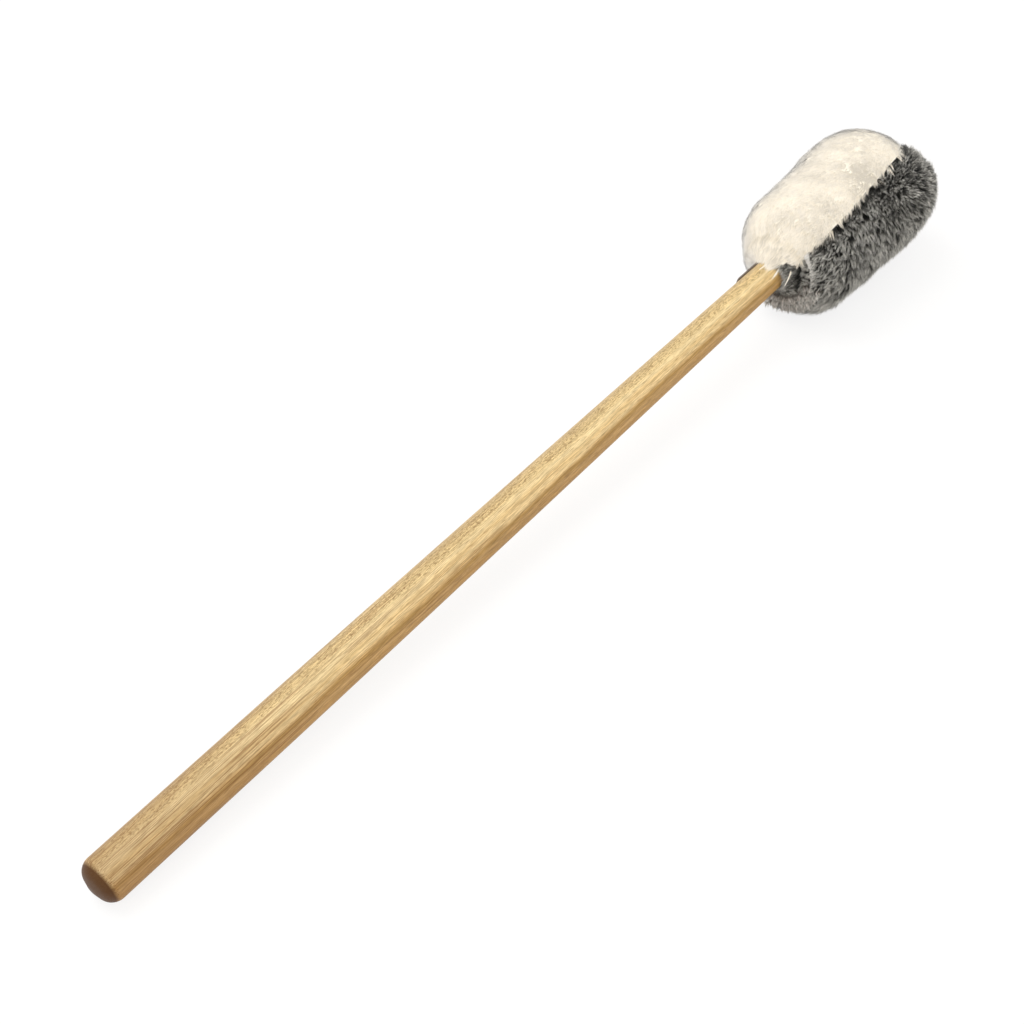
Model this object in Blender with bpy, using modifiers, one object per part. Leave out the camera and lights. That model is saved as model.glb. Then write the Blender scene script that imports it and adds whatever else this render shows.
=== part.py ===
"""Gong mallet: a tapered hardwood handle and a padded head in a fur cover of two colours.

The mallet lies as it rests on a table, on the edge of its butt and on the grey side of its head.
+X runs from the butt to the head, +Z is up, z = 0 is the table and the origin is under the middle.
Each turned piece is drawn as (station, radius) points: the station is the distance from the butt
along the handle's axis.
"""
import math

import bmesh
import bpy
from mathutils import Matrix, Vector

MM = 0.001

# Clearance between pieces that touch on the real mallet
GAP = 0.3 * MM

# Handle: a straight grip, then a taper that quickens towards the neck. The butt's corner turns from
# 90 degrees, square to the axis, to its end angle, and then runs straight to a small flat.
HANDLE_DIAMETER = 19.6 * MM
NECK_DIAMETER = 15.2 * MM
GRIP_LENGTH = 90.0 * MM
SHOULDER_STATION = 450.8 * MM
TAPER_POWER = 1.4
BUTT_CORNER = 6.0 * MM
BUTT_CORNER_END = 165
BUTT_CROWN = 0.6 * MM
BUTT_FLAT_DIAMETER = 5.0 * MM
TENON_DIAMETER = 12.0 * MM
TENON_SETBACK = 2.0 * MM

# Core and the screw that holds it on the tenon. The top of the screw's head is flat up to its start
# angle, and domed from there to its edge at 90 degrees.
CORE_DIAMETER = 34.0 * MM
CORE_LENGTH = 72.0 * MM
CORE_CHAMFER = 2.0 * MM
WASHER_DIAMETER = 22.0 * MM
WASHER_THICKNESS = 1.5 * MM
SCREW_DIAMETER = 4.2 * MM
SCREW_LENGTH = 30.0 * MM
SCREW_POINT = 5.0 * MM
SCREW_HEAD_DIAMETER = 9.0 * MM
SCREW_HEAD_HEIGHT = 3.0 * MM
SCREW_HEAD_START = 30
SLOT_WIDTH = 1.2 * MM
SLOT_DEPTH = 1.4 * MM

# Padding
FELT_THICKNESS = 2.7 * MM
FOAM_THICKNESS = 3.4 * MM
NECK_PAD_THICKNESS = 7.5 * MM
TIP_PAD_THICKNESS = 14.8 * MM
NECK_PAD_ROUND = 7.0 * MM
TIP_PAD_ROUND = 14.0 * MM

# Fur cover: one barrel of backing and pile for both halves. It stands out more on the grey side, so
# its own axis lies a little towards that side, and each half ends at its own stations.
PILE_AT_NECK = 7.9 * MM
PILE_AT_TIP = 11.9 * MM
PILE_OFFSET = 2.1 * MM
WHITE_PAST_NECK = 9.0 * MM
WHITE_PAST_TIP = 7.5 * MM
WHITE_NECK_ROUND = 28.0 * MM
WHITE_TIP_ROUND = 36.0 * MM
GREY_PAST_NECK = 11.0 * MM
GREY_PAST_TIP = 14.0 * MM
GREY_NECK_ROUND = 25.0 * MM
GREY_TIP_ROUND = 34.0 * MM
GREY_FACE_DIAMETER = 38.0 * MM
GREY_FACE_THICKNESS = 1.5 * MM

# Seams: the plane between the two halves, turned from the top towards -Y, and skewed along the head
SEAM_ANGLE = math.radians(34.0)
SEAM_SKEW = math.radians(4.6)
SEAM_THREAD_DIAMETER = 1.2 * MM
NECK_THREAD_DIAMETER = 1.4 * MM
TIP_KNOT_DIAMETER = 4.2 * MM
TIP_KNOT_LENGTH = 3.0 * MM

# Tail of the backing, glued along the far side of the neck
TAB_LENGTH = 24.5 * MM
TAB_THICKNESS = 0.8 * MM
TAB_START_ANGLE = math.radians(44.0)
TAB_SWEEP = math.radians(80.0)

# How deep the table flattens the fur under the head
REST_FLAT_DEPTH = 0.5 * MM

# Faces round a turned piece and along each rounded end
HANDLE_STEPS = 40
HEAD_STEPS = 40
SMALL_STEPS = 28
TAPER_POINTS = 12
END_POINTS = 9
CORNER_POINTS = 6
THREAD_STEPS = 8
TAB_STEPS = 8

CUTTER_SIZE = 300.0 * MM
WELD_DISTANCE = 1e-6
SLIVER_SIZE = 0.01 * MM
SHARP_ANGLE = math.radians(35.0)

# Sizes that follow from the ones above
core_start = SHOULDER_STATION + GAP
core_end = core_start + CORE_LENGTH
padding_start = core_start - GAP - NECK_PAD_THICKNESS
tip_pad_start = core_end + GAP
padding_end = tip_pad_start + TIP_PAD_THICKNESS
felt_radius = CORE_DIAMETER / 2 + GAP + FELT_THICKNESS
padding_radius = felt_radius + GAP + FOAM_THICKNESS
lining_start = padding_start - GAP
lining_end = padding_end + GAP
lining_radius = padding_radius + GAP
neck_opening = NECK_DIAMETER / 2 + NECK_THREAD_DIAMETER + 2 * GAP
tip_opening = TIP_KNOT_DIAMETER / 2 + GAP
bore_radius = TENON_DIAMETER / 2 + GAP
screw_hole_radius = SCREW_DIAMETER / 2 + GAP
washer_end = tip_pad_start + WASHER_THICKNESS
screw_seat = washer_end + GAP
screw_end = screw_seat + SCREW_HEAD_HEIGHT
screw_tip = screw_seat - SCREW_LENGTH
tenon_end = core_end - TENON_SETBACK
head_middle = (lining_start + lining_end) / 2
pile_drop = PILE_OFFSET * math.sin(SEAM_ANGLE)


def handle_radius(station):
    """Radius of the handle at a station between the butt's corner and the shoulder."""
    share = max(0.0, (station - GRIP_LENGTH) / (SHOULDER_STATION - GRIP_LENGTH))
    return HANDLE_DIAMETER / 2 - (HANDLE_DIAMETER - NECK_DIAMETER) / 2 * share ** TAPER_POWER


def quarter(centre, half_length, base, height, first, last, count):
    """Points of an elliptic arc: stations centre + half_length * cos, radii base + height * sin."""
    points = []
    for i in range(count + 1):
        angle = math.radians(first + (last - first) * i / count)
        points.append((centre + half_length * math.cos(angle), base + height * math.sin(angle)))
    return points


def handle_outside():
    """Outer side of the handle from the shoulder down to the butt's flat."""
    points = []
    for i in range(TAPER_POINTS + 1):
        station = SHOULDER_STATION + (GRIP_LENGTH - SHOULDER_STATION) * i / TAPER_POINTS
        points.append((station, handle_radius(station)))
    corner_base = HANDLE_DIAMETER / 2 - BUTT_CORNER
    corner_centre = BUTT_CORNER + BUTT_CROWN
    points += quarter(corner_centre, BUTT_CORNER, corner_base, BUTT_CORNER, 90, BUTT_CORNER_END,
                      CORNER_POINTS)
    points.append((0.0, BUTT_FLAT_DIAMETER / 2))
    return points


def barrel_side(start, end, round_start, round_end):
    """Side of a barrel from tip to neck: its radius grows evenly towards the tip. A small flat at each
    end holds the whole tip hole."""
    radius_start = lining_radius + PILE_AT_NECK
    radius_end = lining_radius + PILE_AT_TIP
    pole = math.degrees(math.asin((tip_opening + PILE_OFFSET + GAP) / radius_end))
    points = []
    for station, share in (quarter(end - round_end, round_end, 0, 1, pole, 90, END_POINTS)
                           + quarter(start + round_start, round_start, 0, 1, 90, 180 - pole, END_POINTS)):
        flare = radius_start + (radius_end - radius_start) * (station - start) / (end - start)
        points.append((station, flare * share))
    return points


def white_side():
    return barrel_side(lining_start - WHITE_PAST_NECK, lining_end + WHITE_PAST_TIP,
                       WHITE_NECK_ROUND, WHITE_TIP_ROUND)


def grey_side():
    return barrel_side(lining_start - GREY_PAST_NECK, lining_end + GREY_PAST_TIP,
                       GREY_NECK_ROUND, GREY_TIP_ROUND)


def padding_side(offset):
    """Outer side of the padding, moved out by offset: the lining of the cover follows it."""
    radius = padding_radius + offset
    points = quarter(padding_end - TIP_PAD_ROUND, TIP_PAD_ROUND + offset,
                     radius - TIP_PAD_ROUND, TIP_PAD_ROUND, 0, 90, END_POINTS)
    points += quarter(padding_start + NECK_PAD_ROUND, NECK_PAD_ROUND + offset,
                      radius - NECK_PAD_ROUND, NECK_PAD_ROUND, 90, 180, END_POINTS)
    return points


def lowest(points, tilt):
    """Height of a turned outline's lowest point above its axis' butt end, at a tilt of the axis."""
    return min(station * math.sin(tilt) - radius * math.cos(tilt) for station, radius in points)


def resting_tilt():
    """Slope of the axis when the butt and the pressed fur are both on the table."""
    low, high = 0.0, math.radians(30.0)
    while high - low > 1e-9:
        tilt = (low + high) / 2
        head_height = lowest(grey_side(), tilt) - pile_drop * math.cos(tilt) + REST_FLAT_DEPTH
        if head_height < lowest(handle_outside(), tilt):
            low = tilt
        else:
            high = tilt
    return (low + high) / 2


def material(name, colour, roughness, metallic=0.0):
    made = bpy.data.materials.new(name)
    made.diffuse_color = (*colour, 1.0)
    made.use_nodes = True
    shader = made.node_tree.nodes["Principled BSDF"]
    shader.inputs["Base Color"].default_value = (*colour, 1.0)
    shader.inputs["Roughness"].default_value = roughness
    shader.inputs["Metallic"].default_value = metallic
    return made


def clear_scene():
    for old in list(bpy.data.objects):
        bpy.data.objects.remove(old, do_unlink=True)


def new_collection(name):
    made = bpy.data.collections.new(name)
    bpy.context.scene.collection.children.link(made)
    return made


def evaluated_mesh(obj):
    """The object's mesh with its modifiers or its bevel applied, welded and with its flat ends closed."""
    graph = bpy.context.evaluated_depsgraph_get()
    mesh = bpy.data.meshes.new_from_object(obj.evaluated_get(graph))
    work = bmesh.new()
    work.from_mesh(mesh)
    bmesh.ops.remove_doubles(work, verts=work.verts, dist=WELD_DISTANCE)
    bmesh.ops.holes_fill(work, edges=work.edges)
    bmesh.ops.recalc_face_normals(work, faces=work.faces)
    work.to_mesh(mesh)
    work.free()
    mesh.shade_smooth()
    mesh.set_sharp_from_angle(angle=SHARP_ANGLE)
    return mesh


def place(name, mesh, finish, turned_piece=True):
    """Put a mesh on the mallet's axis: a turned piece is made along its own Z, which becomes the axis."""
    obj = bpy.data.objects.new(name, mesh)
    parts.objects.link(obj)
    obj.parent = axis
    if turned_piece:
        obj.rotation_euler = (0.0, math.pi / 2, 0.0)
    mesh.materials.clear()
    mesh.materials.append(finish)
    return obj


def screwed(points, closed, steps, sweep=2 * math.pi, thickness=0.0):
    """Turn (station, radius) points about Z: they run down the outer side, and a ring's loop is closed."""
    mesh = bpy.data.meshes.new("profile")
    edges = [(i, i + 1) for i in range(len(points) - 1)]
    if closed:
        edges.append((len(points) - 1, 0))
    mesh.from_pydata([(radius, 0.0, station) for station, radius in points], edges, [])
    profile = bpy.data.objects.new("profile", mesh)
    bpy.context.scene.collection.objects.link(profile)
    screw = profile.modifiers.new("turn", "SCREW")
    screw.axis = "Z"
    screw.angle = sweep
    screw.steps = steps
    screw.render_steps = steps
    screw.use_merge_vertices = True
    screw.merge_threshold = WELD_DISTANCE
    if thickness:
        wall = profile.modifiers.new("wall", "SOLIDIFY")
        wall.thickness = thickness
        wall.offset = 1.0
    mesh_turned = evaluated_mesh(profile)
    bpy.data.objects.remove(profile)
    return mesh_turned


def turned(name, points, finish, steps=SMALL_STEPS, closed=False):
    return place(name, screwed(points, closed, steps), finish)


def cut(obj, cutter):
    step = obj.modifiers.new(cutter.name, "BOOLEAN")
    step.operation = "DIFFERENCE"
    step.solver = "EXACT"
    step.object = cutter
    weld = obj.modifiers.new("weld_" + cutter.name, "WELD")
    weld.merge_threshold = SLIVER_SIZE


def cutter_from(name, mesh, matrix):
    obj = bpy.data.objects.new(name, mesh)
    cutters.objects.link(obj)
    obj.matrix_world = matrix
    obj.hide_render = True
    obj.display_type = "WIRE"
    return obj


def box_mesh(name, size):
    mesh = bpy.data.meshes.new(name)
    work = bmesh.new()
    bmesh.ops.create_cube(work, size=1.0, matrix=Matrix.Diagonal((*size, 1.0)))
    work.to_mesh(mesh)
    work.free()
    return mesh


def tube_mesh(name, points, radius):
    """A thread along points, with closed ends."""
    data = bpy.data.curves.new(name, "CURVE")
    data.dimensions = "3D"
    data.bevel_depth = radius
    data.bevel_resolution = 1
    data.use_fill_caps = True
    line = data.splines.new("POLY")
    line.points.add(len(points) - 1)
    for point, place_at in zip(line.points, points):
        point.co = (*place_at, 1.0)
    obj = bpy.data.objects.new(name, data)
    bpy.context.scene.collection.objects.link(obj)
    mesh = evaluated_mesh(obj)
    bpy.data.objects.remove(obj)
    return mesh


def seam_up():
    """Direction from the axis to the upper seam, in the axis' frame."""
    return Vector((0.0, -math.sin(SEAM_ANGLE), math.cos(SEAM_ANGLE)))


def seam_across():
    """Direction square to the axis and to the upper seam, towards the grey half."""
    return Vector((0.0, -math.cos(SEAM_ANGLE), -math.sin(SEAM_ANGLE)))


def seam_path(side):
    """Route of a seam thread in the axis' frame, round the tip pad and along the head to the neck pad's
    rounding: side is 1 for the upper seam and -1 for the lower."""
    points = []
    for station, radius in padding_side(GAP + SEAM_THREAD_DIAMETER / 2)[:END_POINTS + 2]:
        shift = (head_middle - station) * math.tan(SEAM_SKEW)
        along = math.sqrt(radius ** 2 - shift ** 2)
        points.append(Vector((station, 0.0, 0.0)) + side * along * seam_up() + shift * seam_across())
    return points


def half_space(name, towards_grey):
    """A block that fills the grey or the white side of the seam plane, short of it by half a gap."""
    normal = (seam_across() + math.tan(SEAM_SKEW) * Vector((1.0, 0.0, 0.0))).normalized()
    if not towards_grey:
        normal = -normal
    centre = Vector((head_middle, 0.0, 0.0)) + (CUTTER_SIZE - GAP) / 2 * normal
    turn = normal.to_track_quat("Z", "Y").to_matrix().to_4x4()
    mesh = box_mesh(name, (CUTTER_SIZE, CUTTER_SIZE, CUTTER_SIZE))
    return cutter_from(name, mesh, axis.matrix_world @ Matrix.Translation(centre) @ turn)


def make_handle():
    pilot_end = screw_tip - GAP
    points = [(pilot_end, 0.0), (pilot_end, screw_hole_radius), (tenon_end, screw_hole_radius),
              (tenon_end, TENON_DIAMETER / 2), (SHOULDER_STATION, TENON_DIAMETER / 2)]
    points += handle_outside()
    points.append((0.0, 0.0))
    turned("handle", points, material("oiled_hardwood", (0.56, 0.37, 0.17), 0.45), HANDLE_STEPS)


def make_core():
    radius = CORE_DIAMETER / 2
    points = [(core_end, bore_radius), (core_end, radius - CORE_CHAMFER),
              (core_end - CORE_CHAMFER, radius), (core_start + CORE_CHAMFER, radius),
              (core_start, radius - CORE_CHAMFER), (core_start, bore_radius)]
    turned("core", points, material("turned_beech", (0.62, 0.44, 0.27), 0.6), closed=True)


def make_washer():
    points = [(washer_end, screw_hole_radius), (washer_end, WASHER_DIAMETER / 2),
              (tip_pad_start, WASHER_DIAMETER / 2), (tip_pad_start, screw_hole_radius)]
    turned("core_washer", points, material("zinc_washer", (0.6, 0.61, 0.62), 0.35, 1.0), closed=True)


def make_screw():
    """A slotted pan-head screw: its thread is left plain, as it is buried in the tenon."""
    points = [(screw_end, 0.0)]
    points += quarter(screw_seat, SCREW_HEAD_HEIGHT, 0.0, SCREW_HEAD_DIAMETER / 2, SCREW_HEAD_START, 90,
                      CORNER_POINTS)
    points += [(screw_seat, SCREW_DIAMETER / 2), (screw_tip + SCREW_POINT, SCREW_DIAMETER / 2),
               (screw_tip, 0.0)]
    screw = turned("core_screw", points, material("steel_screw", (0.55, 0.55, 0.57), 0.3, 1.0))
    size = (SLOT_WIDTH, SCREW_HEAD_DIAMETER * 2, SLOT_DEPTH * 2)
    cut(screw, cutter_from("screw_slot", box_mesh("screw_slot", size),
                           axis.matrix_world @ Matrix.Rotation(math.pi / 2, 4, "Y")
                           @ Matrix.Translation((0.0, 0.0, screw_end))))


def make_padding():
    felt = [(core_end, CORE_DIAMETER / 2 + GAP), (core_end, felt_radius), (core_start, felt_radius),
            (core_start, CORE_DIAMETER / 2 + GAP)]
    turned("felt_wrap", felt, material("pressed_felt", (0.30, 0.29, 0.27), 0.95), closed=True)

    foam = material("open_cell_foam", (0.72, 0.68, 0.55), 0.9)
    inner = felt_radius + GAP
    sleeve = [(core_end, inner), (core_end, padding_radius), (core_start, padding_radius),
              (core_start, inner)]
    turned("foam_sleeve", sleeve, foam, closed=True)

    recess_radius = WASHER_DIAMETER / 2 + GAP
    recess_end = screw_end + GAP
    side = padding_side(0.0)
    tip = [(padding_end, 0.0)] + [p for p in side if p[0] > tip_pad_start]
    tip += [(tip_pad_start, padding_radius), (tip_pad_start, recess_radius),
            (recess_end, recess_radius), (recess_end, 0.0)]
    turned("foam_tip_pad", tip, foam)

    neck_end = core_start - GAP
    hole = NECK_DIAMETER / 2 + GAP + (handle_radius(padding_start) - handle_radius(SHOULDER_STATION))
    neck = [(neck_end, hole), (neck_end, padding_radius)] + [p for p in side if p[0] < neck_end]
    neck.append((padding_start, hole))
    turned("foam_neck_ring", neck, foam, closed=True)


def axis_cutter(name, points, steps=HEAD_STEPS):
    """A turned cutter on the handle's axis."""
    return cutter_from(name, screwed(points, False, steps),
                       axis.matrix_world @ Matrix.Rotation(math.pi / 2, 4, "Y"))


def rod_points(start, end, radius):
    return [(end, radius), (start, radius)]


def make_seam_threads(finish):
    """One thread along each seam, and the channel that both halves leave round it."""
    channels = []
    for name, side in (("upper", 1), ("lower", -1)):
        path = seam_path(side)
        thread = tube_mesh("seam_thread_" + name, path, SEAM_THREAD_DIAMETER / 2)
        place("seam_thread_" + name, thread, finish, turned_piece=False)
        first = path[0] + (path[0] - path[1]).normalized() * GAP
        last = path[-1] + (path[-1] - path[-2]).normalized() * GAP
        route = [first] + path[1:-1] + [last]
        channel = tube_mesh("channel_" + name, route, SEAM_THREAD_DIAMETER / 2 + GAP)
        channels.append(cutter_from("channel_" + name, channel, axis.matrix_world))
    return channels


def make_cover(channels):
    """Two half shells of fur: a barrel cut at the seam plane and hollowed by the padding's room."""
    lining = padding_side(GAP)
    shared = [axis_cutter("padding_room", lining),
              axis_cutter("neck_hole", rod_points(0.0, head_middle, neck_opening)),
              axis_cutter("tip_hole", rod_points(head_middle, head_middle + CUTTER_SIZE, tip_opening))]
    face = lining_start - GREY_FACE_THICKNESS
    face_cone = [(face, GREY_FACE_DIAMETER / 2),
                 (face - CUTTER_SIZE / 10, GREY_FACE_DIAMETER / 2 + CUTTER_SIZE / 10)]
    table_size = (CUTTER_SIZE * 2, CUTTER_SIZE * 2, CUTTER_SIZE)
    table = cutter_from("table", box_mesh("table", table_size),
                        Matrix.Translation((0.0, 0.0, -CUTTER_SIZE / 2)))

    white_finish = material("white_plush", (0.90, 0.85, 0.76), 0.95)
    grey_finish = material("grey_plush", (0.20, 0.20, 0.18), 0.95)
    white = turned("white_fur_panel", white_side(), white_finish, HEAD_STEPS)
    grey = turned("grey_fur_panel", grey_side(), grey_finish, HEAD_STEPS)
    white_cutters = [half_space("grey_side_of_seam", True)] + shared + channels
    grey_cutters = [half_space("white_side_of_seam", False), axis_cutter("grey_face", face_cone), table]
    for half, cutting in ((white, white_cutters), (grey, grey_cutters + shared + channels)):
        half.location = PILE_OFFSET * seam_across()
        for cutter in cutting:
            cut(half, cutter)


def make_gathers(finish):
    """The thread round the neck and the knot at the tip that draw the cover together."""
    bpy.ops.mesh.primitive_torus_add(major_radius=NECK_DIAMETER / 2 + GAP + NECK_THREAD_DIAMETER / 2,
                                     minor_radius=NECK_THREAD_DIAMETER / 2,
                                     major_segments=SMALL_STEPS, minor_segments=THREAD_STEPS)
    ring = bpy.context.object
    mesh = ring.data.copy()
    bpy.data.objects.remove(ring)
    mesh.transform(Matrix.Translation((0.0, 0.0, lining_start - NECK_THREAD_DIAMETER / 2)))
    mesh.shade_smooth()
    place("neck_gather_thread", mesh, finish)

    half_knot = TIP_KNOT_LENGTH / 2
    knot = quarter(lining_end + GAP + half_knot, half_knot, 0.0, TIP_KNOT_DIAMETER / 2, 0, 180, END_POINTS)
    turned("tip_gather_thread", knot, finish, SMALL_STEPS // 2)


def make_backing_tab():
    """A strip of backing that follows the handle's far side and ends in front of the neck thread."""
    tab_end = lining_start - NECK_THREAD_DIAMETER - GAP
    tab_start = tab_end - TAB_LENGTH
    points = [(tab_end, handle_radius(tab_end) + GAP), (tab_start, handle_radius(tab_start) + GAP)]
    mesh = screwed(points, False, TAB_STEPS, TAB_SWEEP, TAB_THICKNESS)
    mesh.transform(Matrix.Rotation(TAB_START_ANGLE, 4, "Z"))
    place("backing_tab", mesh, material("dark_backing", (0.05, 0.04, 0.035), 0.85))


clear_scene()
parts = new_collection("gong_mallet")
cutters = new_collection("cutters")

tilt = resting_tilt()
rear = min(s * math.cos(tilt) - r * math.sin(tilt) for s, r in handle_outside())
front = max(s * math.cos(tilt) + (r + pile_drop) * math.sin(tilt) for s, r in grey_side())
widest_grey = max(r for s, r in grey_side()) + PILE_OFFSET * math.cos(SEAM_ANGLE)
widest_white = max(r for s, r in white_side()) - PILE_OFFSET * math.cos(SEAM_ANGLE)
axis = bpy.data.objects.new("mallet_axis", None)
parts.objects.link(axis)
axis.location = (-(rear + front) / 2, (widest_grey - widest_white) / 2, -lowest(handle_outside(), tilt))
axis.rotation_euler = (0.0, -tilt, 0.0)
bpy.context.view_layer.update()

make_handle()
make_core()
make_washer()
make_screw()
make_padding()
thread_finish = material("waxed_thread", (0.80, 0.78, 0.72), 0.7)
make_cover(make_seam_threads(thread_finish))
make_gathers(thread_finish)
make_backing_tab()
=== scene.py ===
"""Gong mallet: a turned handle and a long head in a fur cover, white on one side, grey on the other."""

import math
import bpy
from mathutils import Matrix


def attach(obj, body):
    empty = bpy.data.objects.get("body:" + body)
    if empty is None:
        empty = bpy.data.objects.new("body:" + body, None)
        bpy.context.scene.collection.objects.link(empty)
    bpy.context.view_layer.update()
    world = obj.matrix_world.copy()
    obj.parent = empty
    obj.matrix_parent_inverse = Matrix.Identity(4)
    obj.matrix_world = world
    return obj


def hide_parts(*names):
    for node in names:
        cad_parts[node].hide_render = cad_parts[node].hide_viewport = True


bl_info = {
    "name": "Gong mallet",
    "version": (1, 0, 0),
    "blender": (4, 5, 0),
    "location": "View3D > Sidebar > Gong mallet",
    "description": "Models the gong mallet's handle and fur head round its solids, with a plain studio",
    "category": "Object",
}

import bpy
import numpy as np
from bpy.props import FloatProperty, FloatVectorProperty, IntProperty, PointerProperty
from bpy.types import Operator, Panel, PropertyGroup
from mathutils import Matrix, Vector

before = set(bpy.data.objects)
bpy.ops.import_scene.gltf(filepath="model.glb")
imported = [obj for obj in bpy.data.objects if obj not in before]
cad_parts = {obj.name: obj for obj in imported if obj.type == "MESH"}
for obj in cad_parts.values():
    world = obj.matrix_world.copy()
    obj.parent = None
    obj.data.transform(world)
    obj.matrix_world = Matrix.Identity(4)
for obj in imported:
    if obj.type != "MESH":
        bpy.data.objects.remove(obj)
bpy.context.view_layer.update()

MM = 0.001

# The mallet's axis as its solids lie in the frame: the middle of its butt, and its slope in radians
BUTT = Vector((-275.8099, 1.8195, 9.4412)) * MM
TILT = 0.0523577
AXIS = Matrix.Translation(BUTT) @ Matrix.Rotation(-TILT, 4, "Y")

# Stations along the axis, radii and clearances, in millimetres
SHOULDER = 450.8
TENON_END = 521.1
PILOT_END = 494.9
GRIP_END = 90.0
BUTT_CORNER = 6.0
BUTT_CROWN = 0.6
BUTT_FLAT = 2.5
TENON_RADIUS = 6.0
PILOT_RADIUS = 2.4
LINING_START = 443.0
LINING_END = 538.5
LINING_RADIUS = 24.0
LINING_NECK_ROUND = 7.0
LINING_NECK_FLAT = 13.0
LINING_TIP_ROUND = 14.0
NECK_HOLE = 9.8
FACE_STATION = 441.5
FACE_RADIUS = 18.5
RIM_RADIUS = 20.5
HEAD_MIDDLE = 490.75
COLLAR_STATION = 440.5
PADDING_CLEARANCE = 0.9
BACKING_GAP = 0.15

# Degrees at which the butt's corner meets its crown, and how the taper quickens towards the neck
BUTT_CORNER_END = 165
TAPER_POWER = 1.4

# Seam plane between the halves: its upper edge is turned from the top towards -Y and skewed
SEAM_ANGLE = math.radians(34.0)
SEAM_SKEW = math.tan(math.radians(4.6))
SEAM_UP = np.array([0.0, -math.sin(SEAM_ANGLE), math.cos(SEAM_ANGLE)])
SEAM_ACROSS = np.array([0.0, -math.cos(SEAM_ANGLE), -math.sin(SEAM_ANGLE)])
ALONG = np.array([1.0, 0.0, 0.0])
PILE_OFFSET = 2.1

# Ends and roundings of the pile's outer surface on each half, with the radii of its barrel
WHITE_LINE = {"start": 434.0, "end": 546.0, "round_start": 28.0, "round_end": 36.0}
GREY_LINE = {"start": 432.0, "end": 552.3, "round_start": 25.0, "round_end": 34.0}
NECK_RADIUS = 31.9
TIP_RADIUS = 35.9

# The grey pile's round end is set back beside the upper seam: how far, between which stations, and the
# middle and the half-width of that stretch in degrees
SETBACK = {"depth": 6.5, "start": 505.0, "end": 552.0, "middle": -10.0, "half_width": 38.0}

# Whorl that the grey fur is combed out from: station, radius and angle from the upper seam
WHORL_STATION = 508.6
WHORL_RADIUS = 34.4
WHORL_ANGLE = math.radians(9.0)

# Radii of fibres, in millimetres. Real pile is finer, about 0.02 mm: fewer and thicker fibres stand for it.
GREY_FIBRE = (0.07, 0.11)
FACE_FIBRE = (0.07, 0.10)
DARK_COLLAR_FIBRE = (0.08, 0.11)
WHITE_FIBRE = (0.13, 0.20)
WHITE_COLLAR_FIBRE = (0.11, 0.17)
FUZZ_FIBRE = (0.04, 0.06)
LOOSE_FIBRE = 0.26

# Fineness of the meshes, and how far fibres that would meet the table stay above it, in metres
PIECE_TRIANGLES = 190000
FIBRE_TRIANGLES = 10
HANDLE_SIDES = 96
BUTT_STEPS = 16
TAPER_STEPS = 36
SKIN_SIDES = 96
SKIN_ROWS = 90
TABLE_CLEARANCE = 0.05 * MM
TABLE_SCATTER = 0.4 * MM

# Camera and stage, in metres
TABLE_SIZE = 6.0
CAMERA_PLACE = Vector((-417.85, -313.18, 519.43)) * MM
CAMERA_AHEAD = Vector((0.5377, 0.4496, -0.7133))
CAMERA_VIEW = math.radians(35.0)
LAMP_TARGET = Vector((0.05, 0.0, 0.0))


def linear(code):
    """An sRGB hex colour as linear red, green, blue and 1 for alpha."""
    values = [int(code[i:i + 2], 16) / 255 for i in (0, 2, 4)]
    return [v / 12.92 if v <= 0.04045 else ((v + 0.055) / 1.055) ** 2.4 for v in values] + [1.0]


def length_setting(name, description, default, least):
    """A length that a user can change, given in millimetres and kept in metres."""
    return FloatProperty(name=name, description=description, default=default * MM, min=least * MM,
                         unit="LENGTH")


def colour_setting(name, description, code):
    """A colour that a user can change, given as sRGB hex."""
    return FloatVectorProperty(name=name, description=description, subtype="COLOR", min=0, max=1,
                               default=linear(code)[:3])


class MalletSizes(PropertyGroup):
    grip_diameter: length_setting("Grip diameter", "Across the straight part of the handle", 19.6, 10)
    neck_diameter: length_setting("Neck diameter", "Across the handle where it enters the head", 15.2, 10)
    grey_pile: length_setting("Grey pile", "Height of the grey fur over its backing", 6.5, 1)
    white_pile: length_setting("White pile", "Height of the white fur over its backing", 1.0, 0.5)
    grey_locks: IntProperty(name="Grey locks", description="Number of locks in the grey fur", default=7600)
    white_locks: IntProperty(name="White locks", description="Number of locks in the white fur",
                             default=6400)
    fibres: IntProperty(name="Fibres in a lock", description="Number of fibres in each lock", default=11)


class MalletColours(PropertyGroup):
    pale_wood: colour_setting("Pale wood", "Cream streaks of the oiled handle", "EFD6A3")
    # the brown side is partly the wood's own colour and partly painted shade on the side turned from the
    # light
    brown_wood_and_shade: colour_setting("Brown wood", "Brown side of the oiled handle", "BD965C")
    grey_root: colour_setting("Grey root", "Grey fibre at its root", "1E1D1A")
    grey_tip: colour_setting("Grey tip", "Frosted end of the grey fibre", "FFFDF8")
    white_root: colour_setting("White root", "White fibre at its root", "F1E6CF")
    white_tip: colour_setting("White tip", "White fibre at its tip", "FFF9EE")


def connect(tree, node, inputs):
    """Give a node's inputs their values, or links from a socket or from another node's first output."""
    for key, value in inputs.items():
        if isinstance(value, bpy.types.Node):
            value = value.outputs[0]
        if isinstance(value, bpy.types.NodeSocket):
            tree.links.new(value, node.inputs[key])
        else:
            node.inputs[key].default_value = value


def add_node(tree, kind, inputs=None, stops=(), **settings):
    """Add a node with its inputs, its properties and, for a ramp, the places and colours of its stops."""
    made = tree.nodes.new(kind)
    for key, value in settings.items():
        setattr(made, key, value)
    for place, colour in stops[2:]:
        made.color_ramp.elements.new(0.5)
    for number, (place, colour) in enumerate(stops):
        stop = made.color_ramp.elements[number]
        stop.position = place
        stop.color = linear(colour) if isinstance(colour, str) else (*colour, 1.0)
    connect(tree, made, inputs or {})
    return made


def empty_tree(owner):
    """The node tree of a material or a world, with nothing in it yet."""
    owner.use_nodes = True
    owner.node_tree.nodes.clear()
    return owner.node_tree


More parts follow.
